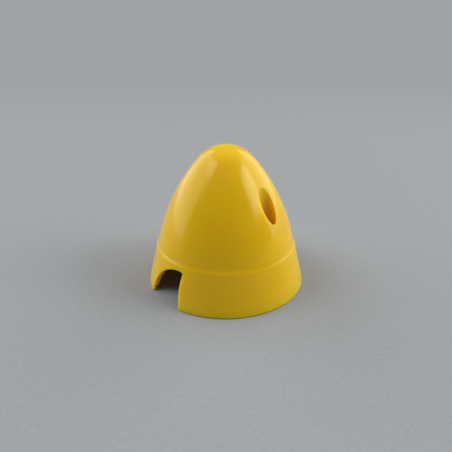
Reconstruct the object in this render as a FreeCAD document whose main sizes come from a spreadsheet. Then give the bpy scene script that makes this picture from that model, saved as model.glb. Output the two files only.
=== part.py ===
"""Spinner cone for a two-blade model-aircraft propeller, injection-moulded in one piece.

A thin ogive shell stands open end down. A slightly proud, conical skirt runs round its open end.
Two blade slots are cut up into the skirt from the rim, and two deep screw wells sink into the
ogive parallel to the axis. Inside, each well is a tube that stands on the backplate and is tied
to the wall by a web, and the rim has a rebate that the backplate fits.

The inside is shaped by a mould core: a solid of the hollow, with grooves for the tubes and webs,
that is cut from the outside form. The core's side is turned as a few straight tapers, so the wall
is a little thicker midway along each. Lengths are in millimetres and angles in degrees.

Frame: +Z is the spin axis towards the nose, Z = 0 is the rim's plane, and the first blade slot
opens along +X.
"""

import FreeCAD, Part
import math
import os

import Sketcher
from FreeCAD import Vector

# alias in the sheet: (value, what it is)
SIZES = {
    "base_diameter": (51.0, "outside diameter at the rim"),
    "overall_height": (44.8, "rim to nose tip"),
    "skirt_height": (14.0, "rim to the ledge where the ogive starts"),
    "skirt_top_diameter": (44.2, "outside diameter of the skirt at the ledge"),
    "ledge_width": (0.3, "how far the skirt stands proud of the ogive"),
    "ogive_lean": (12.1, "lean of the ogive's side at the ledge, from the axis"),
    "nose_radius": (11.2, "radius of the round nose"),
    "wall_thickness": (1.75, "shell wall, measured square to the surface"),
    "rebate_depth": (1.5, "depth of the rebate that locates the backplate"),
    "rebate_width": (0.65, "how far the rebate is cut into the wall"),
    "slot_count": (2, "blade slots, equally spaced"),
    "slot_height": (11.65, "rim to the crown of a blade slot"),
    "slot_bulge_reach": (5.35, "slot centre line to the crest of its bulged side"),
    "slot_bulge_height": (7.0, "rim to that crest"),
    "slot_bulge_radius": (21.0, "radius of the bulged side"),
    "slot_flank_reach": (7.45, "slot centre line to the foot of its hollow flank"),
    "slot_flank_radius": (13.0, "radius of the hollow flank"),
    "slot_crown_offset": (4.1, "slot centre line to its crown, towards the bulged side"),
    "slot_crown_radius": (7.6, "radius over the crown"),
    "slot_corner_radius": (0.5, "radius between the crown and the bulged side"),
    "well_count": (2, "screw wells, equally spaced"),
    "well_angle": (99.1, "first slot's centre line to the first well, about the axis"),
    "well_pitch_diameter": (31.8, "pitch circle of the wells"),
    "well_diameter": (5.3, "bore of a well, for a screw head and driver"),
    "well_floor_height": (4.0, "rim to the floor of a well, where the screw head sits"),
    "screw_hole_diameter": (2.8, "clearance hole through a well's floor"),
    "tube_wall": (1.4, "wall of the tube round a well"),
    "web_thickness": (1.3, "web that ties a tube to the shell"),
    "web_foot_height": (5.0, "rim to the lower edge of a web"),
    "rim_bevel": (0.25, "bevel on the rim's outer edge"),
    "ledge_bevel": (0.1, "bevel on the ledge's outer edge"),
}
CORE_TAPERS = 3  # straight tapers that the core's curved side is turned as
OVERRUN = 1.0  # how far a cutter runs past the face that it opens


def size(name):
    return SIZES[name][0]


def make_sheet(doc):
    sheet = doc.addObject("Spreadsheet::Sheet", "Sizes")
    for row, (name, (number, meaning)) in enumerate(SIZES.items(), start=1):
        sheet.set(f"A{row}", meaning)
        sheet.set(f"B{row}", str(number))
        sheet.setAlias(f"B{row}", name)
    doc.recompute()


# ---------------------------------------------------------------- sketches


def sketch_on(body, name, role, height=None, turn=None):
    """A sketch on one of the body's origin planes, raised and turned by formulas."""
    sketch = body.newObject("Sketcher::SketchObject", name)
    plane = next(o for o in body.Origin.OriginFeatures if o.Role == role)
    sketch.AttachmentSupport = [(plane, "")]
    sketch.MapMode = "FlatFace"
    if height:
        sketch.setExpression(".AttachmentOffset.Base.z", height)
    if turn:
        sketch.setExpression(".AttachmentOffset.Rotation.Angle", turn)
    return sketch


def drive(sketch, kind, refs, formula):
    """A dimension that follows the sheet by a formula."""
    start = sketch.evalExpression(formula)
    index = sketch.addConstraint(Sketcher.Constraint(kind, *refs, start))
    sketch.setExpression(f"Constraints[{index}]", formula)


def place(sketch, geometry, point, across, up):
    """Holds one point of a sketch at two formulas from the sketch's origin."""
    drive(sketch, "DistanceX", (-1, 1, geometry, point), across)
    drive(sketch, "DistanceY", (-1, 1, geometry, point), up)


def position(sketch, corner):
    across, up = corner
    return Vector(sketch.evalExpression(across), sketch.evalExpression(up), 0)


def draw_polyline(sketch, corners):
    """Straight sides from corner to corner. Each corner is a pair of formulas."""
    points = [position(sketch, corner) for corner in corners]
    sides = []
    for start, end in zip(points, points[1:]):
        sides.append(sketch.addGeometry(Part.LineSegment(start, end), False))
    for before, after in zip(sides, sides[1:]):
        sketch.addConstraint(Sketcher.Constraint("Coincident", before, 2, after, 1))
    for side, (across, up) in zip(sides, corners):
        place(sketch, side, 1, across, up)
    place(sketch, sides[-1], 2, *corners[-1])
    return sides


def ogive_arcs():
    """Centre, radius and end angles of the ogive's side arc, and of the nose arc tangent to it."""
    lean = math.radians(size("ogive_lean"))
    foot = Vector(size("skirt_top_diameter") / 2 - size("ledge_width"), size("skirt_height"), 0)
    nose_radius = size("nose_radius")
    nose_centre = Vector(0, size("overall_height") - nose_radius, 0)
    outward = Vector(math.cos(lean), math.sin(lean), 0)
    span = foot - nose_centre
    side_radius = (span.dot(span) - nose_radius**2) / (2 * (span.dot(outward) - nose_radius))
    side_centre = foot - outward * side_radius
    joint = math.atan2(nose_centre.y - side_centre.y, nose_centre.x - side_centre.x)
    side = (side_centre, side_radius, lean, joint)
    return side, (nose_centre, nose_radius, joint, math.pi / 2)


def draw_ogive(sketch, inset, tapers=None):
    """The ogive's side and nose, moved inwards by inset.

    Where tapers are asked for, the side arc is a guide and that many chords take its place.
    """
    (side_centre, side_radius, lean, joint), (nose_centre, nose_radius, _, top) = ogive_arcs()
    depth = sketch.evalExpression(inset)
    side = draw_arc(sketch, side_centre, side_radius - depth, lean, joint, guide=bool(tapers))
    nose = draw_arc(sketch, nose_centre, nose_radius - depth, joint, top)
    sketch.addConstraint(Sketcher.Constraint("Tangent", side, 2, nose, 1))
    sketch.addConstraint(Sketcher.Constraint("PointOnObject", nose, 3, -2))
    sketch.addConstraint(Sketcher.Constraint("PointOnObject", nose, 2, -2))
    drive(sketch, "Radius", (nose,), f"Sizes.nose_radius - {inset}")
    drive(sketch, "DistanceY", (-1, 1, nose, 2), f"Sizes.overall_height - {inset}")
    place(sketch, side, 1, *ogive_foot(inset))
    foot = sketch.getPoint(side, 1)
    spoke = sketch.addGeometry(Part.LineSegment(side_centre, foot), True)
    sketch.addConstraint(Sketcher.Constraint("Coincident", spoke, 1, side, 3))
    sketch.addConstraint(Sketcher.Constraint("Coincident", spoke, 2, side, 1))
    slope = sketch.addConstraint(Sketcher.Constraint("Angle", spoke, lean))
    sketch.setExpression(f"Constraints[{slope}]", "Sizes.ogive_lean")
    if tapers:
        draw_chords(sketch, side, tapers)


def draw_chords(sketch, arc, count):
    """Equal straight chords from one end of an arc to the other."""
    curve = sketch.Geometry[arc]
    first, last = curve.FirstParameter, curve.LastParameter
    points = [curve.value(first + (last - first) * step / count) for step in range(count + 1)]
    chords = []
    for start, end in zip(points, points[1:]):
        chords.append(sketch.addGeometry(Part.LineSegment(start, end), False))
    sketch.addConstraint(Sketcher.Constraint("Coincident", chords[0], 1, arc, 1))
    sketch.addConstraint(Sketcher.Constraint("Coincident", chords[-1], 2, arc, 2))
    for before, after in zip(chords, chords[1:]):
        sketch.addConstraint(Sketcher.Constraint("Coincident", before, 2, after, 1))
        sketch.addConstraint(Sketcher.Constraint("PointOnObject", before, 2, arc))
        sketch.addConstraint(Sketcher.Constraint("Equal", before, after))


def draw_arc(sketch, centre, radius, start, end, guide=False):
    circle = Part.Circle(centre, Vector(0, 0, 1), radius)
    return sketch.addGeometry(Part.ArcOfCircle(circle, start, end), guide)


def draw_circle(sketch, across, radius):
    """A circle centred on the sketch's X axis."""
    centre = position(sketch, (across, "0"))
    circle = Part.Circle(centre, Vector(0, 0, 1), sketch.evalExpression(radius))
    curve = sketch.addGeometry(circle, False)
    sketch.addConstraint(Sketcher.Constraint("PointOnObject", curve, 3, -1))
    drive(sketch, "DistanceX", (-1, 1, curve, 3), across)
    drive(sketch, "Radius", (curve,), radius)


# ---------------------------------------------------------------- features


def revolve(body, name, sketch):
    feature = body.newObject("PartDesign::Revolution", name)
    feature.Profile = sketch
    feature.ReferenceAxis = (sketch, ["V_Axis"])
    feature.Angle = 360
    body.Document.recompute()


def cut_through(body, name, sketch, along_normal):
    """A pocket right through the body on one side of its sketch."""
    feature = body.newObject("PartDesign::Pocket", name)
    feature.Profile = sketch
    feature.Type = "ThroughAll"
    feature.Reversed = along_normal
    body.Document.recompute()
    return feature


def repeat(body, name, feature, count):
    """Equally spaced copies of a feature about the spin axis."""
    pattern = body.newObject("PartDesign::PolarPattern", name)
    pattern.Originals = [feature]
    axis = next(o for o in body.Origin.OriginFeatures if o.Role == "Z_Axis")
    pattern.Axis = (axis, [""])
    pattern.Angle = 360
    pattern.setExpression("Occurrences", count)
    body.Tip = pattern
    body.Document.recompute()


# ---------------------------------------------------------------- the part

AXIS = "0"
RIM = "0"
BASE_RADIUS = "Sizes.base_diameter / 2"
LEDGE_RADIUS = "Sizes.skirt_top_diameter / 2"
OGIVE_RADIUS = f"({LEDGE_RADIUS} - Sizes.ledge_width)"
INNER_BASE_RADIUS = f"({BASE_RADIUS} - Sizes.wall_thickness / cos(Sizes.ogive_lean))"
WELL_RADIUS = "Sizes.well_pitch_diameter / 2"
TUBE_RADIUS = "(Sizes.well_diameter / 2 + Sizes.tube_wall)"


def ogive_foot(inset):
    """Where the ogive meets the ledge's plane, moved square to the ogive's side by inset."""
    across = f"({OGIVE_RADIUS} - {inset} * cos(Sizes.ogive_lean))"
    up = f"(Sizes.skirt_height - {inset} * sin(Sizes.ogive_lean))"
    return across, up


def outside_form(body):
    """Skirt, ledge and ogive, as one solid of revolution."""
    sketch = sketch_on(body, "OutsideProfile", "XZ_Plane")
    taper = f"({BASE_RADIUS} - {LEDGE_RADIUS}) / Sizes.skirt_height"
    ledge = "Sizes.skirt_height"
    corners = [
        (AXIS, "Sizes.overall_height"),
        (AXIS, RIM),
        (f"{BASE_RADIUS} - Sizes.rim_bevel", RIM),
        (f"{BASE_RADIUS} - {taper} * Sizes.rim_bevel", "Sizes.rim_bevel"),
        (f"{LEDGE_RADIUS} + {taper} * Sizes.ledge_bevel", f"{ledge} - Sizes.ledge_bevel"),
        (f"{LEDGE_RADIUS} - Sizes.ledge_bevel", ledge),
        ogive_foot("0"),
    ]
    draw_polyline(sketch, corners)
    draw_ogive(sketch, "0")
    revolve(body, "Outside", sketch)


def mould_core(doc):
    """The hollow: rebate, skirt and ogive inside the wall, less the wells' tubes and webs."""
    core = doc.addObject("PartDesign::Body", "MouldCore")
    sketch = sketch_on(core, "CoreProfile", "XZ_Plane")
    below = str(-OVERRUN)
    wall = "Sizes.wall_thickness"
    foot_across, foot_up = ogive_foot(wall)
    taper = f"({INNER_BASE_RADIUS} - {foot_across}) / {foot_up}"
    rebate_radius = f"{INNER_BASE_RADIUS} + Sizes.rebate_width"
    corners = [
        (AXIS, f"Sizes.overall_height - {wall}"),
        (AXIS, below),
        (rebate_radius, below),
        (rebate_radius, "Sizes.rebate_depth"),
        (f"{INNER_BASE_RADIUS} - {taper} * Sizes.rebate_depth", "Sizes.rebate_depth"),
        (foot_across, foot_up),
    ]
    draw_polyline(sketch, corners)
    draw_ogive(sketch, wall, CORE_TAPERS)
    revolve(core, "CoreForm", sketch)

    tube = sketch_on(core, "TubeOutline", "XY_Plane", "Sizes.rebate_depth", "Sizes.well_angle")
    draw_circle(tube, WELL_RADIUS, TUBE_RADIUS)
    groove = cut_through(core, "TubeGroove", tube, along_normal=True)
    repeat(core, "TubeGrooves", groove, "Sizes.well_count")

    web = sketch_on(core, "WebOutline", "XY_Plane", "Sizes.web_foot_height", "Sizes.well_angle")
    half = "Sizes.web_thickness / 2"
    near, far = WELL_RADIUS, BASE_RADIUS
    loop = [(near, f"-{half}"), (far, f"-{half}"), (far, half), (near, half), (near, f"-{half}")]
    draw_polyline(web, loop)
    slit = cut_through(core, "WebSlit", web, along_normal=True)
    repeat(core, "WebSlits", slit, "Sizes.well_count")
    return core


def slot_outline(sketch):
    """A blade slot seen from outside: it follows the section of a blade's root.

    One side bulges into the slot. A round crown runs from it over to the hollow flank, which
    spreads to the rim. The sketch's X runs from the flank to the bulged side, and its Y up from
    the rim.
    """
    bulge_radius, crown_radius = size("slot_bulge_radius"), size("slot_crown_radius")
    flank_radius, corner_radius = size("slot_flank_radius"), size("slot_corner_radius")
    bulge = Vector(size("slot_bulge_reach") + bulge_radius, size("slot_bulge_height"), 0)
    crown = Vector(size("slot_crown_offset"), size("slot_height") - crown_radius, 0)
    foot = Vector(-size("slot_flank_reach"), 0, 0)
    flank = meeting(crown, flank_radius - crown_radius, foot, flank_radius, lambda p: p.x)
    corner = meeting(
        crown, crown_radius - corner_radius, bulge, bulge_radius + corner_radius, lambda p: p.y
    )

    corner_start = direction(corner, bulge)
    corner_end = direction(crown, corner)
    crown_end = direction(flank, crown)
    flank_end = math.pi + math.asin((flank.y + OVERRUN) / flank_radius)
    bulge_end = math.pi + math.asin((bulge.y + OVERRUN) / bulge_radius)
    flank_foot = Vector(flank.x + flank_radius * math.cos(flank_end), -OVERRUN, 0)
    bulge_foot = Vector(bulge.x + bulge_radius * math.cos(bulge_end), -OVERRUN, 0)

    side = draw_arc(sketch, bulge, bulge_radius, direction(bulge, corner), bulge_end)
    corner_arc = draw_arc(sketch, corner, corner_radius, corner_start, corner_end)
    crown_arc = draw_arc(sketch, crown, crown_radius, corner_end, crown_end)
    flank_arc = draw_arc(sketch, flank, flank_radius, crown_end, flank_end)
    foot_point = sketch.addGeometry(Part.Point(foot), True)
    sill = sketch.addGeometry(Part.LineSegment(flank_foot, bulge_foot), False)
    sketch.addConstraint(
        [
            Sketcher.Constraint("Tangent", side, 1, corner_arc, 1),
            Sketcher.Constraint("Tangent", corner_arc, 2, crown_arc, 1),
            Sketcher.Constraint("Tangent", crown_arc, 2, flank_arc, 1),
            Sketcher.Constraint("Coincident", flank_arc, 2, sill, 1),
            Sketcher.Constraint("Coincident", sill, 2, side, 2),
            Sketcher.Constraint("Horizontal", sill),
            Sketcher.Constraint("PointOnObject", foot_point, 1, -1),
            Sketcher.Constraint("PointOnObject", foot_point, 1, flank_arc),
            Sketcher.Constraint("DistanceY", sill, 2, -1, 1, OVERRUN),
        ]
    )
    drive(sketch, "DistanceX", (foot_point, 1, -1, 1), "Sizes.slot_flank_reach")
    bulge_centre = ("Sizes.slot_bulge_reach + Sizes.slot_bulge_radius", "Sizes.slot_bulge_height")
    crown_centre = ("Sizes.slot_crown_offset", "Sizes.slot_height - Sizes.slot_crown_radius")
    place(sketch, side, 3, *bulge_centre)
    place(sketch, crown_arc, 3, *crown_centre)
    drive(sketch, "Radius", (side,), "Sizes.slot_bulge_radius")
    drive(sketch, "Radius", (crown_arc,), "Sizes.slot_crown_radius")
    drive(sketch, "Radius", (flank_arc,), "Sizes.slot_flank_radius")
    drive(sketch, "Radius", (corner_arc,), "Sizes.slot_corner_radius")


def meeting(first, first_radius, second, second_radius, rank):
    """Of the two points at given distances from two centres, the one that ranks higher."""
    normal = Vector(0, 0, 1)
    circles = [Part.Circle(first, normal, first_radius), Part.Circle(second, normal, second_radius)]
    points = [Vector(p.X, p.Y, 0) for p in circles[0].intersect(circles[1])]
    return max(points, key=rank)


def direction(start, end):
    """Angle of the line from start to end, in radians."""
    return math.atan2(end.y - start.y, end.x - start.x)


def blade_slots(body):
    sketch = sketch_on(body, "SlotOutline", "YZ_Plane")
    slot_outline(sketch)
    slot = cut_through(body, "BladeSlot", sketch, along_normal=True)
    repeat(body, "BladeSlots", slot, "Sizes.slot_count")


def screw_wells(body):
    """Bores from the ogive down to a floor, with a screw hole on through the floor."""
    floor, turn = "Sizes.well_floor_height", "Sizes.well_angle"
    bore = sketch_on(body, "WellOutline", "XY_Plane", floor, turn)
    draw_circle(bore, WELL_RADIUS, "Sizes.well_diameter / 2")
    well = cut_through(body, "Well", bore, along_normal=True)
    repeat(body, "Wells", well, "Sizes.well_count")

    shank = sketch_on(body, "ScrewHoleOutline", "XY_Plane", floor, turn)
    draw_circle(shank, WELL_RADIUS, "Sizes.screw_hole_diameter / 2")
    hole = cut_through(body, "ScrewHole", shank, along_normal=False)
    repeat(body, "ScrewHoles", hole, "Sizes.well_count")


def spinner_cone(doc):
    body = doc.addObject("PartDesign::Body", "SpinnerCone")
    body.Label = "spinner_cone"
    body.Placement = FreeCAD.Placement()
    outside_form(body)

    hollow = body.newObject("PartDesign::Boolean", "Hollow")
    hollow.Type = "Cut"
    hollow.setObjects([mould_core(doc)])
    doc.recompute()

    blade_slots(body)
    screw_wells(body)
    return body


def check(doc, parts):
    for item in doc.Objects:
        if "Invalid" in item.State or "Error" in item.State:
            raise RuntimeError(f"{item.Label} failed: {item.State}")
    for part in parts:
        if part.Shape.isNull() or not part.Shape.isValid():
            raise RuntimeError(f"{part.Label} has no valid shape")


def main():
    doc = FreeCAD.newDocument("SpinnerCone")
    make_sheet(doc)
    parts = [spinner_cone(doc)]
    doc.recompute()
    check(doc, parts)
    os.makedirs("parts", exist_ok=True)
    for part in parts:
        part.Shape.exportStep(f"parts/{part.Label}.step")
        box = part.Shape.BoundBox
        print(f"{part.Label}: {part.Shape.Volume:.1f} mm3, {box.XLength:.2f} x {box.YLength:.2f}")


main()
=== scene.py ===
"""Looks of a yellow propeller spinner cone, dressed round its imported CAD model."""
import math

import bmesh
import bpy
import numpy as np
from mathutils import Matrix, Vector
from mathutils.geometry import delaunay_2d_cdt


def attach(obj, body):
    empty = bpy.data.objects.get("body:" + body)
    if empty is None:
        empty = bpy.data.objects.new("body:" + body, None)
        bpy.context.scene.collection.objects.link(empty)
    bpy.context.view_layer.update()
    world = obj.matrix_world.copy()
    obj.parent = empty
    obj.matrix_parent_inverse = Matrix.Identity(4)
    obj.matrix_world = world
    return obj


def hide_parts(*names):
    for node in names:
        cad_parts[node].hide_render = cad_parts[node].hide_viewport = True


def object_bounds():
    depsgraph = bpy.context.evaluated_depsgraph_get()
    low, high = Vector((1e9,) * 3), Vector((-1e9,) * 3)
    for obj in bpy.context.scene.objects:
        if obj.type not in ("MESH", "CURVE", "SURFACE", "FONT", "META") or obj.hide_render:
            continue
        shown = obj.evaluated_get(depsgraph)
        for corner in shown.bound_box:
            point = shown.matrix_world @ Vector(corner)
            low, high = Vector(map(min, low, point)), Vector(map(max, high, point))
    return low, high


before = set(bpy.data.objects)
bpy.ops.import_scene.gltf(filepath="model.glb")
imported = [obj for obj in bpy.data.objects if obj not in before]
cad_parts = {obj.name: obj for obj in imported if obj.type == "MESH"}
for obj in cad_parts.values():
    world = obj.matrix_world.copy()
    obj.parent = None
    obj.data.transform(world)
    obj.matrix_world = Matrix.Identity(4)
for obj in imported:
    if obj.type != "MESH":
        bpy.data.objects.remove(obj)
CAD_BOX = [list(map(float, corner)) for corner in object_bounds()]

MM = 0.001

# ---------------------------------------------------------------- sizes, in millimetres and degrees

HEIGHT = CAD_BOX[1][2] / MM
RIM_RADIUS = 25.5
SKIRT_HEIGHT = 14.0
SKIRT_TOP_RADIUS = 22.1
LEDGE_WIDTH = 0.3
OGIVE_LEAN = 12.1
NOSE_RADIUS = 11.2
WALL = 1.75
REBATE_DEPTH = 1.5
REBATE_WIDTH = 0.65

# Blade slot: a bulged side, a small corner, a crown that falls away and a hollow flank.
SLOT_HEIGHT = 11.65
SLOT_BULGE_REACH = 5.35
SLOT_BULGE_HEIGHT = 7.0
SLOT_BULGE_RADIUS = 21.0
SLOT_FLANK_REACH = 7.45
SLOT_FLANK_RADIUS = 13.0
SLOT_CROWN_OFFSET = 4.1
SLOT_CROWN_RADIUS = 7.6
SLOT_CORNER_RADIUS = 0.5

# Screw well, and the tube and web that hold it inside.
WELL_ANGLE = 99.1
WELL_PITCH_RADIUS = 15.9
WELL_RADIUS = 2.65
WELL_FLOOR = 4.0
SCREW_HOLE_RADIUS = 1.4
TUBE_RADIUS = 4.05
WEB_HALF = 0.65
WEB_FOOT = 5.0

# Small roundings that a mould's edges leave.
RIM_ROUNDING = 0.25
LEDGE_ROUNDING = 1.5
LEDGE_ROOT_ROUNDING = 1.0
LEDGE_FALL = 0.9  # how far down the skirt the moulded ledge slopes
SLOT_ROUNDING = 0.3
MOUTH_ROUNDING = 0.25
HOLDING = 0.12  # a last row of faces beside a rounding, which keeps the surface next to it true

# ---------------------------------------------------------------- how fine the mesh is

# The cone is two equal halves, so one half is meshed and turned round the axis.
HALVES = 2
HALF_START = -50.0  # angle of the half's first edge, clear of every slot, well and web

# Rows of faces down each stretch of the skin and of the hollow.
SKIN_ROWS = {"nose": 16, "side": 42, "root": 2, "skirt": 18}
HOLLOW_ROWS = {"nose": 11, "side": 28, "wall": 12, "rebate": 2}
ROUNDING_ROWS = 4
SIDE_TRIM = 4  # last points of the ogive's side, which the ledge's root takes the place of

# Faces along each edge.
SLOT_FACES = {"rebate": 4, "bulge": 26, "corner": 6, "crown": 30, "flank": 30}
RIM_FACES = {"before": 43, "after": 139}  # along the rim on either side of the slot
WELL_FACES = 64
TUBE_FACES = 72
WEB_FACES = 12
WEB_FOOT_FACES = 3

# Rows over a turned surface. Near the nose a row has half as many faces, then a quarter, and so on.
CELL = 0.7  # width of a face at the rim
LEAST_IN_ROW = 4
CLEAR_OF_EDGES = 0.5 * CELL
CLEAR_OF_SIDES = 0.2 * CELL
SIDE_BAND = 1.2 * CELL  # this near the half's sides, points may stand closer to an edge

ARC_STEP, ARC_LEAST = 0.05, 6  # how far apart an outline's points are, and the fewest on an arc
TRACE_STEP = 0.005  # how closely a point's place along an outline is found
HAIR = 1e-6  # places less than this apart are one
INSIDE_ONLY = 1  # what the triangulation keeps: the inside of its outlines
TRIANGLE_TOLERANCE = 1e-7
WELD_IN_HALF = 1e-4
WELD_OF_HALVES = 1e-3
SHARP_ANGLE = 32.0  # edges that bend more than this stay crisp

# ---------------------------------------------------------------- outlines


def arc(centre, radius, start, end):
    """Points along an arc, between two angles in radians."""
    count = max(ARC_LEAST, round(abs(radius * (end - start)) / ARC_STEP))
    return turn(centre, radius, start, end, count)


def turn(centre, radius, start, end, count):
    """Points along an arc that is cut into a given number of steps."""
    angles = np.linspace(start, end, count + 1)
    return np.asarray(centre) + radius * np.column_stack((np.cos(angles), np.sin(angles)))


def heading(start, end):
    """The angle of the line from one point to another."""
    return math.atan2(end[1] - start[1], end[0] - start[0])


def rounding(corner, before, after, radius):
    """The arc that rounds a corner between two straight lines, from the first to the second."""
    corner, before, after = (np.array(p, float) for p in (corner, before, after))
    back = (before - corner) / np.linalg.norm(before - corner)
    on = (after - corner) / np.linalg.norm(after - corner)
    half = math.acos(np.clip(back @ on, -1, 1)) / 2
    first = corner + back * radius / math.tan(half)
    last = corner + on * radius / math.tan(half)
    centre = corner + (back + on) / np.linalg.norm(back + on) * radius / math.sin(half)
    start = heading(centre, first)
    swing = (heading(centre, last) - start + math.pi) % (2 * math.pi) - math.pi
    return arc(centre, radius, start, start + swing)


def meeting(first, first_radius, second, second_radius, side):
    """Where two circles cross: side is 1 for the point left of the line between their centres."""
    gap = second - first
    span = np.linalg.norm(gap)
    along = (first_radius**2 - second_radius**2 + span**2) / (2 * span)
    aside = side * math.sqrt(first_radius**2 - along**2)
    return first + (along * gap + aside * np.array((-gap[1], gap[0]))) / span


class Profile:
    """An outline in radius and height, from the nose down, that is turned about the spin axis.

    Each span of it is its points and how many rows of faces it takes.
    """

    def __init__(self, *spans):
        points = [spans[0][0][:1]]
        self.rows = [0.0]
        length = 0.0
        for span, rows in spans:
            step = span if len(points) > 1 else span[1:]
            run = np.vstack((points[-1][-1:], step))
            end = length + np.linalg.norm(np.diff(run, axis=0), axis=1).sum()
            self.rows += list(np.linspace(length, end, rows + 1)[1:])
            points.append(step)
            length = end
        points = np.vstack(points)
        steps = np.linalg.norm(np.diff(points, axis=0), axis=1)
        apart = steps > HAIR
        self.points = points[np.concatenate(([True], apart))]
        self.length = np.concatenate(([0.0], np.cumsum(steps[apart])))

    def at(self, length, angle):
        """Points that lie so far along the outline, at the given angles about the axis."""
        radius = np.interp(length, self.length, self.points[:, 0])
        height = np.interp(length, self.length, self.points[:, 1])
        return np.column_stack((radius * np.cos(angle), radius * np.sin(angle), height))

    def flat(self, points):
        """Each point's place on the surface, rolled out flat round the nose."""
        radius = np.hypot(points[:, 0], points[:, 1])
        angle = np.arctan2(points[:, 1], points[:, 0])
        fine = np.arange(0, self.length[-1], TRACE_STEP)
        trace = self.at(fine, 0 * fine)
        away = (radius[:, None] - trace[:, 0]) ** 2 + (points[:, 2, None] - trace[:, 2]) ** 2
        return spread(fine[np.argmin(away, axis=1)], angle)

    def radius_at(self, height):
        return np.interp(height, self.points[::-1, 1], self.points[::-1, 0])

    def height_at(self, radius):
        widest = np.argmax(self.points[:, 0])
        return np.interp(radius, self.points[:widest, 0], self.points[:widest, 1])


def spread(reach, angle):
    """Points at the given reach and angle from a centre."""
    return np.column_stack((reach * np.cos(angle), reach * np.sin(angle)))


def ogive():
    """The nose's centre, then the side's arc: centre, radius, angle at its foot and at the nose."""
    lean = math.radians(OGIVE_LEAN)
    foot = np.array((SKIRT_TOP_RADIUS - LEDGE_WIDTH, SKIRT_HEIGHT))
    nose = np.array((0.0, HEIGHT - NOSE_RADIUS))
    outward = np.array((math.cos(lean), math.sin(lean)))
    span = foot - nose
    radius = (span @ span - NOSE_RADIUS**2) / (2 * (span @ outward - NOSE_RADIUS))
    centre = foot - outward * radius
    return nose, centre, radius, lean, heading(centre, nose)


def outside():
    """The skin: nose, side, the ledge's soft slope, skirt and the rim's rounding."""
    nose, centre, radius, lean, joint = ogive()
    foot = centre + radius * np.array((math.cos(lean), math.sin(lean)))
    above = foot + np.array((-math.sin(lean), math.cos(lean)))
    ledge, rim = np.array((SKIRT_TOP_RADIUS, SKIRT_HEIGHT)), np.array((RIM_RADIUS, 0.0))
    ledge = ledge + LEDGE_FALL * (rim - ledge) / np.linalg.norm(rim - ledge)
    root = rounding(foot, above, ledge, LEDGE_ROOT_ROUNDING)
    lip = rounding(ledge, foot, rim, LEDGE_ROUNDING)
    toe = rounding(rim, ledge, (0, 0), RIM_ROUNDING)
    down = (toe[0] - lip[-1]) / np.linalg.norm(toe[0] - lip[-1])
    return Profile(
        (arc(nose, NOSE_RADIUS, math.pi / 2, joint), SKIN_ROWS["nose"]),
        (arc(centre, radius, joint, lean)[:-SIDE_TRIM], SKIN_ROWS["side"]),
        (root[:1], 1),
        (root, SKIN_ROWS["root"]),
        (lip[:1], 1),
        (lip, ROUNDING_ROWS),
        (lip[-1:] + HOLDING * down, 1),
        (toe[:1] - HOLDING * down, SKIN_ROWS["skirt"]),
        (toe[:1], 1),
        (toe, ROUNDING_ROWS),
    )


def inside():
    """The hollow: nose, side, the skirt's straight wall and the rebate for the backplate."""
    nose, centre, radius, lean, joint = ogive()
    depth = radius - WALL
    foot = centre + depth * np.array((math.cos(lean), math.sin(lean)))
    base = RIM_RADIUS - WALL / math.cos(lean)
    step = base + (foot[0] - base) * REBATE_DEPTH / foot[1]
    return Profile(
        (arc(nose, NOSE_RADIUS - WALL, math.pi / 2, joint), HOLLOW_ROWS["nose"]),
        (arc(centre, depth, joint, lean), HOLLOW_ROWS["side"]),
        (np.array([(step, REBATE_DEPTH)]), HOLLOW_ROWS["wall"]),
        (np.array([(base + REBATE_WIDTH, REBATE_DEPTH)]), HOLLOW_ROWS["rebate"]),
        (np.array([(base + REBATE_WIDTH, 0.0)]), HOLLOW_ROWS["rebate"]),
    )


def slot_outline(offset):
    """A blade slot's edge, moved into the wall by offset: across and up, from foot to foot."""
    bulge = np.array((SLOT_BULGE_REACH + SLOT_BULGE_RADIUS, SLOT_BULGE_HEIGHT))
    crown = np.array((SLOT_CROWN_OFFSET, SLOT_HEIGHT - SLOT_CROWN_RADIUS))
    foot = np.array((-SLOT_FLANK_REACH, 0.0))
    flank = meeting(foot, SLOT_FLANK_RADIUS, crown, SLOT_FLANK_RADIUS - SLOT_CROWN_RADIUS, -1)
    round_bulge = SLOT_BULGE_RADIUS + SLOT_CORNER_RADIUS
    in_crown = SLOT_CROWN_RADIUS - SLOT_CORNER_RADIUS
    corner = meeting(bulge, round_bulge, crown, in_crown, -1)
    bulge_radius, flank_radius = SLOT_BULGE_RADIUS - offset, SLOT_FLANK_RADIUS + offset
    corner_radius, crown_radius = SLOT_CORNER_RADIUS + offset, SLOT_CROWN_RADIUS + offset

    def on_bulge(height):
        return math.pi - math.asin((height - bulge[1]) / bulge_radius)

    def on_flank(height):
        return math.pi - math.asin((height - flank[1]) / flank_radius)

    bulge_end, corner_start = heading(bulge, corner), heading(corner, bulge)
    corner_end, crown_end = heading(crown, corner), heading(flank, crown)
    foot_faces = SLOT_FACES["rebate"]
    return np.vstack((
        turn(bulge, bulge_radius, on_bulge(0), on_bulge(REBATE_DEPTH), foot_faces),
        turn(bulge, bulge_radius, on_bulge(REBATE_DEPTH), bulge_end, SLOT_FACES["bulge"]),
        turn(corner, corner_radius, corner_start, corner_end, SLOT_FACES["corner"])[1:],
        turn(crown, crown_radius, corner_end, crown_end, SLOT_FACES["crown"])[1:],
        turn(flank, flank_radius, crown_end, on_flank(REBATE_DEPTH), SLOT_FACES["flank"])[1:],
        turn(flank, flank_radius, on_flank(REBATE_DEPTH), on_flank(0), foot_faces),
    ))


# ---------------------------------------------------------------- mesh


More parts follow.
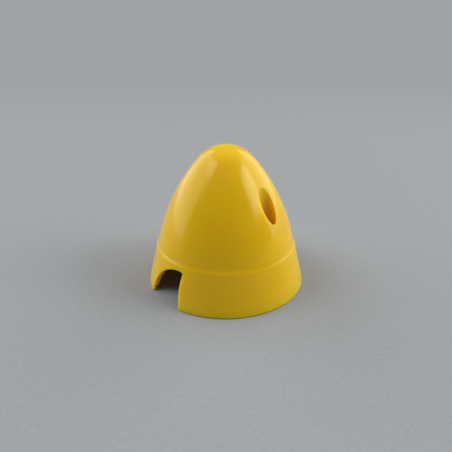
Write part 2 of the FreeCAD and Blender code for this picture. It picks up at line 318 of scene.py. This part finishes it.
def triangles(outlines, points, extra=()):
    """Fills closed outlines with triangles, whose corners are given as numbers of points.

    Each outline is how many of the points it takes, in order. The extra points lie inside.
    """
    edges, first = [], 0
    for count in outlines:
        edges += [(first + i, first + (i + 1) % count) for i in range(count)]
        first += count
    flat = [Vector(p) for p in points] + [Vector(p) for p in extra]
    result = delaunay_2d_cdt(flat, edges, [], INSIDE_ONLY, TRIANGLE_TOLERANCE)
    source = [numbers[0] for numbers in result[3]]
    return [[source[i] for i in face] for face in result[2]]


class Shell:
    """Collects faces by their corner points. Points at one place become one vertex later."""

    def __init__(self):
        self.points, self.faces = [], []

    def add(self, points, faces):
        start = len(self.points)
        self.points += [tuple(p) for p in points]
        self.faces += [[start + i for i in face] for face in faces]

    def strip(self, first, second):
        """Four-sided faces between two rows of as many points."""
        count = len(first)
        faces = [(i, i + 1, count + i + 1, count + i) for i in range(count - 1)]
        self.add(np.vstack((first, second)), faces)

    def polygon(self, points):
        self.add(points, [list(range(len(points)))])

    def ring(self, outer, inner):
        """A flat ring between two closed rows that need not have as many points."""
        points = np.vstack((outer, inner))
        faces = triangles((len(outer), len(inner)), points[:, :2])
        self.add(points, [face for face in faces if min(face) < len(outer)])

    def patch(self, profile, border, hole, in_hole):
        """Meshes a turned surface inside a border, round a hole."""
        edge_points = np.vstack((border, hole))
        lengths, angles = field(profile, edge_points)
        outlines = (len(border), len(hole))
        faces = triangles(outlines, profile.flat(edge_points), spread(lengths, angles))
        places = np.vstack((edge_points, profile.at(lengths, angles)))
        self.add(places, [face for face in faces if not in_hole(places[face].mean(axis=0))])


def field(profile, edge_points):
    """Points that fill half of a turned surface in even rows, clear of its edges."""
    start = math.radians(HALF_START)
    rows = []
    for length in profile.rows[1:-1]:
        radius = np.interp(length, profile.length, profile.points[:, 0])
        halvings = max(0, math.floor(math.log2(RIM_RADIUS / radius)))
        count = max(LEAST_IN_ROW, round(math.pi * RIM_RADIUS / CELL) >> halvings)
        angles = start + math.pi * np.arange(1, count) / count
        rows.append((np.full(count - 1, length), angles))
    lengths, angles = np.concatenate(rows, axis=1)
    points = profile.at(lengths, angles)
    away = np.array([np.min(np.sum((edge_points - p) ** 2, axis=1)) for p in points])
    aside = np.abs(np.sin(angles - start)) * np.hypot(points[:, 0], points[:, 1])
    keep = away > CLEAR_OF_EDGES**2
    keep |= (away > CLEAR_OF_SIDES**2) & (aside < SIDE_BAND)
    return lengths[keep], angles[keep]


def border(profile, slot, after, before):
    """The edge of half a surface: round the slot, along the rim and up each side to the nose."""
    start = math.radians(HALF_START)
    rows = np.array(profile.rows)
    up = profile.at(rows[:0:-1], np.full(len(rows) - 1, start + math.pi))
    down = profile.at(rows[:-1], np.full(len(rows) - 1, start))
    return np.vstack((slot[::-1], after[:-1], up, down, before[::-1]))


def raised(places, heights):
    """Places in X and Y with their heights: one for all of them, or one for each."""
    return np.column_stack((places, np.broadcast_to(heights, len(places))))


# ---------------------------------------------------------------- blade slot and rim


def slot_rows(skin, hollow):
    """The slot's edge in the hollow, and rows from its side out over the rounding to the skin."""

    def on_skin(edge, sink=0.0):
        return np.column_stack((wrapped(skin.radius_at(edge[:, 1]), edge[:, 0]) - sink, edge))

    rows = []
    for angle in np.linspace(0, math.pi / 2, ROUNDING_ROWS + 1):
        edge = slot_outline(SLOT_ROUNDING * (1 - math.cos(angle)))
        rows.append(on_skin(edge, SLOT_ROUNDING * (1 - math.sin(angle))))
    rows.append(on_skin(slot_outline(SLOT_ROUNDING + HOLDING)))

    edge = slot_outline(0.0)
    rebate_wall = hollow.points[-1, 0]
    in_rebate = edge[:, 1] < REBATE_DEPTH - HAIR
    wall = np.where(in_rebate, rebate_wall, hollow.radius_at(edge[:, 1] + HAIR))
    # At the rebate's roof the edge has two points: the first lies on the rebate's wall.
    roof = np.flatnonzero(np.abs(edge[:, 1] - REBATE_DEPTH) < HAIR)
    wall[roof[0]] = wall[roof[-1]] = rebate_wall
    return np.column_stack((wrapped(wall, edge[:, 0]), edge)), rows


def wrapped(radius, across):
    """How far out a point lies on a round wall, at a distance across from the middle."""
    return np.sqrt(radius**2 - across**2)


def rim_arcs(radius, feet):
    """The rim's circle on either side of the slot, from the slot's feet to the half's edges."""
    start = math.radians(HALF_START)
    arcs = []
    for foot, end, side in ((feet[0], start + math.pi, "after"), (feet[1], start, "before")):
        angles = np.linspace(heading((0, 0), foot), end, RIM_FACES[side] + 1)[1:]
        arcs.append(raised(spread(radius, angles), 0.0))
    return arcs


def rim_underside(shell, outer, inner, rows, jamb):
    """The rim's underside, between the skin's edge and the rebate's, and the slot's two feet."""
    for beyond, within, end in zip(outer, inner, (0, -1)):
        shell.strip(beyond, within)
        foot = [row[end] for row in rows]
        shell.polygon([jamb[end]] + foot + [beyond[0], within[0]])


# ---------------------------------------------------------------- screw well, tube and web


def at_well(local):
    """Points given outward and sideways on the radius through the well, in the part's X and Y."""
    angle = math.radians(WELL_ANGLE)
    out, aside = local[:, 0], local[:, 1]
    across = out * math.cos(angle) - aside * math.sin(angle)
    return np.column_stack((across, out * math.sin(angle) + aside * math.cos(angle)))


def from_well(point):
    """A point's reach outward and sideways on the radius through the well."""
    angle = math.radians(WELL_ANGLE)
    out = point[0] * math.cos(angle) + point[1] * math.sin(angle)
    return out, point[1] * math.cos(angle) - point[0] * math.sin(angle)


def round_well(radius, angles):
    """Points on a circle round the well's axis, outward and sideways. Angle 0 faces outward."""
    return spread(radius, angles) + (WELL_PITCH_RADIUS, 0)


def well_circle(radius):
    angles = np.linspace(0, 2 * math.pi, WELL_FACES + 1)[:-1]
    return at_well(round_well(radius, angles))


def screw_well(shell, skin):
    """The screw hole, floor and bore, and the mouth's rounding. Returns the mouth's edge."""
    chain = [
        raised(well_circle(SCREW_HOLE_RADIUS), REBATE_DEPTH),
        raised(well_circle(SCREW_HOLE_RADIUS), WELL_FLOOR),
        raised(well_circle(WELL_RADIUS), WELL_FLOOR),
    ]
    for angle in np.linspace(0, math.pi / 2, ROUNDING_ROWS + 1):
        place = well_circle(WELL_RADIUS + MOUTH_ROUNDING * (1 - math.cos(angle)))
        sink = MOUTH_ROUNDING * (1 - math.sin(angle))
        chain.append(raised(place, skin.height_at(np.hypot(*place.T)) - sink))
    place = well_circle(WELL_RADIUS + MOUTH_ROUNDING + HOLDING)
    chain.append(raised(place, skin.height_at(np.hypot(*place.T))))
    closed = [np.vstack((row, row[:1])) for row in chain]
    for first, second in zip(closed, closed[1:]):
        shell.strip(first, second)
    return chain[-1]


def in_mouth(point):
    out, aside = from_well(point)
    edge = WELL_RADIUS + MOUTH_ROUNDING + HOLDING
    return math.hypot(out - WELL_PITCH_RADIUS, aside) < edge


def tube_and_web(shell, hollow):
    """The well's tube and its web, up to the hollow's wall. Returns their edge on that wall."""
    side = math.asin(WEB_HALF / TUBE_RADIUS)
    tube = round_well(TUBE_RADIUS, np.linspace(side, 2 * math.pi - side, TUBE_FACES + 1))
    foot_out = math.sqrt(hollow.radius_at(WEB_FOOT) ** 2 - WEB_HALF**2)
    along = np.linspace(foot_out, tube[0, 0], WEB_FACES + 1)
    web_first = np.column_stack((along, np.full(len(along), WEB_HALF)))[:-1]
    web_last = np.column_stack((along[::-1], np.full(len(along), -WEB_HALF)))[1:]
    across = np.linspace(-WEB_HALF, WEB_HALF, WEB_FOOT_FACES + 1)[1:-1]
    web_foot = np.column_stack((wrapped(hollow.radius_at(WEB_FOOT), across), across))

    place = at_well(np.vstack((web_first, tube, web_last, web_foot)))
    root = raised(place, hollow.height_at(np.hypot(*place.T)))
    tube_top = root[len(web_first) :][: len(tube)]
    tube_foot = raised(at_well(tube), REBATE_DEPTH)
    tube_middle = tube_foot + (0, 0, WEB_FOOT - REBATE_DEPTH)
    shell.strip(tube_foot, tube_middle)
    shell.strip(tube_middle, tube_top)

    last_side = root[len(web_first) + len(tube) :][: len(web_last)]
    shell.polygon(np.vstack((root[: len(web_first)], tube_top[:1], tube_middle[:1])))
    shell.polygon(np.vstack((tube_middle[-1:], tube_top[-1:], last_side)))

    # The tube's wall below the web's foot, that foot's underside and the tube's own foot.
    below = at_well(round_well(TUBE_RADIUS, np.linspace(-side, side, WEB_FOOT_FACES + 1)))
    panel_foot = raised(below, REBATE_DEPTH)
    panel_top = panel_foot + (0, 0, WEB_FOOT - REBATE_DEPTH)
    shell.strip(panel_foot, panel_top)
    shell.strip(panel_top, np.vstack((root[-WEB_FOOT_FACES:], root[:1])))
    tube_edge = np.vstack((panel_foot[:-1], tube_foot[:-1]))
    shell.ring(tube_edge, raised(well_circle(SCREW_HOLE_RADIUS), REBATE_DEPTH))
    return root


def in_tube_or_web(point):
    out, aside = from_well(point)
    in_tube = math.hypot(out - WELL_PITCH_RADIUS, aside) < TUBE_RADIUS
    in_web = abs(aside) < WEB_HALF and out > WELL_PITCH_RADIUS and point[2] > WEB_FOOT
    return in_tube or in_web


def cone_half():
    """Half the cone, with one blade slot and one screw well. It is open where halves meet."""
    shell = Shell()
    skin, hollow = outside(), inside()
    jamb, rows = slot_rows(skin, hollow)
    for first, second in zip([jamb] + rows, rows):
        shell.strip(first, second)
    skin_rim = rim_arcs(skin.points[-1, 0], rows[-1][[0, -1]])
    hollow_rim = rim_arcs(hollow.points[-1, 0], jamb[[0, -1]])
    rim_underside(shell, skin_rim, hollow_rim, rows, jamb)
    mouth = screw_well(shell, skin)
    root = tube_and_web(shell, hollow)
    shell.patch(skin, border(skin, rows[-1], *skin_rim), mouth, in_mouth)
    shell.patch(hollow, border(hollow, jamb, *hollow_rim), root, in_tube_or_web)
    return shell


# ---------------------------------------------------------------- nodes and colours


def linear(hex_colour):
    """An sRGB hex colour as the linear one that a shader takes."""
    channels = [int(hex_colour[i : i + 2], 16) / 255 for i in (1, 3, 5)]
    return [c / 12.92 if c <= 0.04045 else ((c + 0.055) / 1.055) ** 2.4 for c in channels] + [1.0]


def add_node(tree, kind, settings=None, links=None):
    """Adds a node. Settings are its own attributes, or its sockets by name or number."""
    node = tree.nodes.new(kind)
    for name, value in (settings or {}).items():
        if isinstance(name, str) and hasattr(node, name):
            setattr(node, name, value)
        else:
            node.inputs[name].default_value = value
    for name, source in (links or {}).items():
        tree.links.new(source, node.inputs[name])
    return node


def repeat_round_axis():
    """A Geometry Nodes tree that turns copies of a part round the spin axis and welds them."""
    tree = bpy.data.node_groups.new("repeat_round_axis", "GeometryNodeTree")
    face = tree.interface
    face.new_socket("Part", in_out="INPUT", socket_type="NodeSocketGeometry")
    face.new_socket("Copies", in_out="INPUT", socket_type="NodeSocketInt")
    face.new_socket("Weld", in_out="INPUT", socket_type="NodeSocketFloat")
    face.new_socket("Plastic", in_out="INPUT", socket_type="NodeSocketMaterial")
    face.new_socket("Whole", in_out="OUTPUT", socket_type="NodeSocketGeometry")
    sizes = add_node(tree, "NodeGroupInput")
    share = add_node(
        tree,
        "ShaderNodeMath",
        {"operation": "DIVIDE", 0: 2 * math.pi},
        {1: sizes.outputs["Copies"]},
    )
    index = add_node(tree, "GeometryNodeInputIndex")
    angle = add_node(
        tree,
        "ShaderNodeMath",
        {"operation": "MULTIPLY"},
        {0: index.outputs["Index"], 1: share.outputs["Value"]},
    )
    swing = add_node(
        tree,
        "FunctionNodeAxisAngleToRotation",
        {"Axis": (0.0, 0.0, 1.0)},
        {"Angle": angle.outputs["Value"]},
    )
    spots = add_node(tree, "GeometryNodePoints", links={"Count": sizes.outputs["Copies"]})
    copies = add_node(
        tree,
        "GeometryNodeInstanceOnPoints",
        links={
            "Points": spots.outputs["Geometry"],
            "Instance": sizes.outputs["Part"],
            "Rotation": swing.outputs["Rotation"],
        },
    )
    real = add_node(
        tree,
        "GeometryNodeRealizeInstances",
        links={"Geometry": copies.outputs["Instances"]},
    )
    weld = add_node(
        tree,
        "GeometryNodeMergeByDistance",
        links={"Geometry": real.outputs["Geometry"], "Distance": sizes.outputs["Weld"]},
    )
    smooth = add_node(
        tree,
        "GeometryNodeSetShadeSmooth",
        links={"Geometry": weld.outputs["Geometry"]},
    )
    plastic = add_node(
        tree,
        "GeometryNodeSetMaterial",
        links={"Geometry": smooth.outputs["Geometry"], "Material": sizes.outputs["Plastic"]},
    )
    add_node(tree, "NodeGroupOutput", links={"Whole": plastic.outputs["Geometry"]})
    return tree


# ---------------------------------------------------------------- camera and studio

LENS = 37.83
SENSOR_WIDTH = 36.0
CAMERA_HEADING = 229.0
CAMERA_DISTANCE = 138.08
CAMERA_HEIGHT = 84.51
CAMERA_DIP = 25.731
NEAR_LIMIT = 10.0

# Each soft light: the azimuths it fills, counted from the camera's side of the cone, the
# elevations, and how bright it looks, where 1 is a white sheet in full light.
LIGHT_DISTANCE = 1500.0
SOFT_LIGHTS = {
    "left_wall": ((-150.0, -78.0), (-5.0, 50.0), 1.9),
    "right_wall": ((84.0, 150.0), (-5.0, 50.0), 1.82),
    "left_lamp": ((-95.0, -67.0), (44.0, 63.0), 4.5),
    "right_lamp": ((63.0, 92.0), (20.0, 49.0), 5.1),
    "ceiling": ((-35.0, 35.0), (55.0, 125.0), 0.42),
}
ROOM_COLOUR = "#C8CACC"
ROOM_STRENGTH = 0.19
BACKDROP_COLOUR = "#9EA2A5"

CARD_COLOUR = "#A0A3A6"
CARD_FLECK = "#939699"
CARD_ROUGHNESS = 0.9
CARD_GLOSS_LEVEL = 0.2
FLECK_SIZE = 1.2  # coarser than a card's fibres are, so that the flecks show
FLECK_DETAIL = 3.0
FADE_START, FADE_END = 150.0, 500.0  # how far from the cone the floor fades into the backdrop
FLOOR_REACH = 4000.0


def camera():
    data = bpy.data.cameras.new("camera")
    data.lens = LENS
    data.sensor_width = SENSOR_WIDTH
    data.clip_start = NEAR_LIMIT * MM
    obj = bpy.data.objects.new("camera", data)
    azimuth = math.radians(CAMERA_HEADING)
    reach = CAMERA_DISTANCE * MM
    obj.location = (reach * math.cos(azimuth), reach * math.sin(azimuth), CAMERA_HEIGHT * MM)
    obj.rotation_euler = (math.radians(90 - CAMERA_DIP), 0, math.radians(CAMERA_HEADING - 270))
    bpy.context.collection.objects.link(obj)
    bpy.context.scene.camera = obj


def soft_light(name, azimuths, elevations, brightness):
    """A soft light that fills the given span, seen from the cone."""
    spans = [math.radians(end - start) for start, end in (azimuths, elevations)]
    data = bpy.data.lights.new(name, "AREA")
    data.shape = "RECTANGLE"
    data.size, data.size_y = (2 * LIGHT_DISTANCE * MM * math.tan(angle / 2) for angle in spans)
    data.energy = brightness * math.pi * data.size * data.size_y
    azimuth = math.radians(CAMERA_HEADING + sum(azimuths) / 2)
    rise = math.radians(sum(elevations) / 2)
    level = Vector((math.cos(azimuth), math.sin(azimuth), 0)) * math.cos(rise)
    toward = level + Vector((0, 0, math.sin(rise)))
    obj = bpy.data.objects.new(name, data)
    obj.location = toward * LIGHT_DISTANCE * MM
    obj.rotation_euler = toward.to_track_quat("Z", "Y").to_euler()
    bpy.context.collection.objects.link(obj)


def seen_as_backdrop(tree, surface, share):
    """Lets the camera see the plain backdrop in place of a surface, by the given share."""
    backdrop = add_node(tree, "ShaderNodeEmission", {"Color": linear(BACKDROP_COLOUR)})
    mix = add_node(
        tree,
        "ShaderNodeMixShader",
        links={0: share, 1: surface, 2: backdrop.outputs[0]},
    )
    return mix.outputs[0]


def studio():
    """Five soft lights in a dim room, before a plain backdrop."""
    world = bpy.data.worlds.new("studio")
    bpy.context.scene.world = world
    world.use_nodes = True
    tree = world.node_tree
    room = tree.nodes["Background"]
    room.inputs["Color"].default_value = linear(ROOM_COLOUR)
    room.inputs["Strength"].default_value = ROOM_STRENGTH
    ray = add_node(tree, "ShaderNodeLightPath")
    seen = seen_as_backdrop(tree, room.outputs[0], ray.outputs["Is Camera Ray"])
    tree.links.new(seen, tree.nodes["World Output"].inputs["Surface"])
    for name, span in SOFT_LIGHTS.items():
        soft_light(name, *span)
    bpy.context.scene.view_settings.view_transform = "Standard"


def matt_grey_card():
    """Matt grey card: no gloss, faint grey flecks. Far away it fades into the backdrop."""
    material = bpy.data.materials.new("matt_grey_card")
    material.use_nodes = True
    tree = material.node_tree
    card = tree.nodes["Principled BSDF"]
    card.inputs["Roughness"].default_value = CARD_ROUGHNESS
    card.inputs["Specular IOR Level"].default_value = CARD_GLOSS_LEVEL
    place = add_node(tree, "ShaderNodeTexCoord").outputs["Object"]
    fleck = add_node(
        tree,
        "ShaderNodeTexNoise",
        {"Scale": 1 / (FLECK_SIZE * MM), "Detail": FLECK_DETAIL},
        {"Vector": place},
    )
    colour = add_node(
        tree,
        "ShaderNodeMix",
        {"data_type": "RGBA", 6: linear(CARD_FLECK), 7: linear(CARD_COLOUR)},
        {0: fleck.outputs["Fac"]},
    )
    tree.links.new(colour.outputs[2], card.inputs["Base Color"])
    distance = add_node(tree, "ShaderNodeVectorMath", {"operation": "LENGTH"}, {0: place})
    fade = add_node(
        tree,
        "ShaderNodeMapRange",
        {
            "interpolation_type": "SMOOTHSTEP",
            "From Min": FADE_START * MM,
            "From Max": FADE_END * MM,
        },
        {"Value": distance.outputs["Value"]},
    )
    ray = add_node(tree, "ShaderNodeLightPath")
    share = add_node(
        tree,
        "ShaderNodeMath",
        {"operation": "MULTIPLY"},
        {0: fade.outputs["Result"], 1: ray.outputs["Is Camera Ray"]},
    )
    seen = seen_as_backdrop(tree, card.outputs[0], share.outputs[0])
    tree.links.new(seen, tree.nodes["Material Output"].inputs["Surface"])
    return material


def floor():
    reach = FLOOR_REACH * MM
    corners = [(-reach, -reach, 0), (reach, -reach, 0), (reach, reach, 0), (-reach, reach, 0)]
    mesh = bpy.data.meshes.new("floor")
    mesh.from_pydata(corners, [], [(0, 1, 2, 3)])
    mesh.materials.append(matt_grey_card())
    obj = bpy.data.objects.new("floor", mesh)
    bpy.context.collection.objects.link(obj)


# ---------------------------------------------------------------- plastic

PLASTIC_COLOUR = "#F7BD0D"
PLASTIC_PALE = "#FBC615"
PLASTIC_IOR = 1.53  # nylon
GLOSS_LEVEL = 0.3
GLOSS_COLOUR = "#FFF3C4"
ROUGHNESS = (0.14, 0.21)  # as the polished mould left it, and where handling has rubbed it
GLOW_REACH = 2.9  # how far light seeps along inside the plastic
GLOW_RADII = (1.0, 0.8, 0.15)  # red seeps furthest and blue least
SHEEN_WEIGHT = 0.2
SHEEN_ROUGHNESS = 0.5
SHEEN_COLOUR = "#FBF79A"
SWIRL_SIZE = 11.0  # broad swirls of the paler yellow that the melt leaves
RUB_SIZE = 5.0
SINK_SIZE, SINK_DEPTH = 9.0, 0.05  # shallow hollows where the thicker plastic shrank
GRAIN_SIZE, GRAIN_DEPTH = 0.5, 0.004  # coarser than the mould's polish is, so that it shows
NOISE_DETAIL = 2.0
NOISE_LOW, NOISE_HIGH = 0.3, 0.7  # nearly all of a noise lies between these


def moulded_yellow_nylon():
    """Glass-smooth moulded nylon in solid yellow.

    It has a soft wet gloss and faint sink marks that bend the highlights, glows orange where the
    wall is thin or light is trapped, as in the wells, and lifts to a paler yellow at its sides.
    """
    material = bpy.data.materials.new("moulded_yellow_nylon")
    material.use_nodes = True
    tree = material.node_tree
    nylon = tree.nodes["Principled BSDF"]
    own = {
        "IOR": PLASTIC_IOR,
        "Specular IOR Level": GLOSS_LEVEL,
        "Specular Tint": linear(GLOSS_COLOUR),
        "Subsurface Weight": 1.0,
        "Subsurface Scale": GLOW_REACH * MM,
        "Subsurface Radius": GLOW_RADII,
        "Sheen Weight": SHEEN_WEIGHT,
        "Sheen Roughness": SHEEN_ROUGHNESS,
        "Sheen Tint": linear(SHEEN_COLOUR),
    }
    for name, value in own.items():
        nylon.inputs[name].default_value = value
    place = add_node(tree, "ShaderNodeTexCoord").outputs["Object"]
    swirl, rub, sink, grain = (
        add_node(
            tree,
            "ShaderNodeTexNoise",
            {"Scale": 1 / (size * MM), "Detail": NOISE_DETAIL},
            {"Vector": place},
        ).outputs["Fac"]
        for size in (SWIRL_SIZE, RUB_SIZE, SINK_SIZE, GRAIN_SIZE)
    )
    colour = add_node(
        tree,
        "ShaderNodeMix",
        {"data_type": "RGBA", 6: linear(PLASTIC_COLOUR), 7: linear(PLASTIC_PALE)},
        {0: swirl},
    )
    roughness = add_node(
        tree,
        "ShaderNodeMapRange",
        {
            "From Min": NOISE_LOW,
            "From Max": NOISE_HIGH,
            "To Min": ROUGHNESS[0],
            "To Max": ROUGHNESS[1],
        },
        {"Value": rub},
    )
    sinks = add_node(tree, "ShaderNodeBump", {"Distance": SINK_DEPTH * MM}, {"Height": sink})
    skin = add_node(
        tree,
        "ShaderNodeBump",
        {"Distance": GRAIN_DEPTH * MM},
        {"Height": grain, "Normal": sinks.outputs["Normal"]},
    )
    tree.links.new(colour.outputs[2], nylon.inputs["Base Color"])
    tree.links.new(roughness.outputs["Result"], nylon.inputs["Roughness"])
    tree.links.new(skin.outputs["Normal"], nylon.inputs["Normal"])
    return material


# ---------------------------------------------------------------- the cone


def half_as_object(name):
    """One half of the cone as an object, with the points at one place made one vertex."""
    half = cone_half()
    mesh = bpy.data.meshes.new(name)
    mesh.from_pydata([Vector(p) * MM for p in half.points], [], half.faces)
    welded = bmesh.new()
    welded.from_mesh(mesh)
    spare = [v for v in welded.verts if not v.link_faces]
    bmesh.ops.delete(welded, geom=spare, context="VERTS")
    bmesh.ops.remove_doubles(welded, verts=welded.verts, dist=WELD_IN_HALF * MM)
    welded.to_mesh(mesh)
    welded.free()
    obj = bpy.data.objects.new(name, mesh)
    bpy.context.collection.objects.link(obj)
    return obj


def make_whole(obj, copies, material):
    """Turns copies of the object's mesh round the axis, as one plain mesh of one material."""
    modifier = obj.modifiers.new("halves", "NODES")
    modifier.node_group = repeat_round_axis()
    given = {"Copies": copies, "Weld": WELD_OF_HALVES * MM, "Plastic": material}
    for socket in modifier.node_group.interface.items_tree:
        if socket.name in given:
            modifier[socket.identifier] = given[socket.name]
    depsgraph = bpy.context.evaluated_depsgraph_get()
    whole = bpy.data.meshes.new_from_object(obj.evaluated_get(depsgraph))
    obj.modifiers.clear()
    obj.data = whole


def face_outward(mesh):
    solid = bmesh.new()
    solid.from_mesh(mesh)
    bmesh.ops.recalc_face_normals(solid, faces=solid.faces)
    if solid.calc_volume(signed=True) < 0:
        bmesh.ops.reverse_faces(solid, faces=solid.faces)
    solid.to_mesh(mesh)
    solid.free()


def moulded_cone():
    obj = half_as_object("moulded_cone")
    make_whole(obj, HALVES, moulded_yellow_nylon())
    face_outward(obj.data)
    obj.data.set_sharp_from_angle(angle=math.radians(SHARP_ANGLE))
    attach(obj, "root")
    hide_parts("spinner_cone")


camera()
studio()
floor()
moulded_cone()
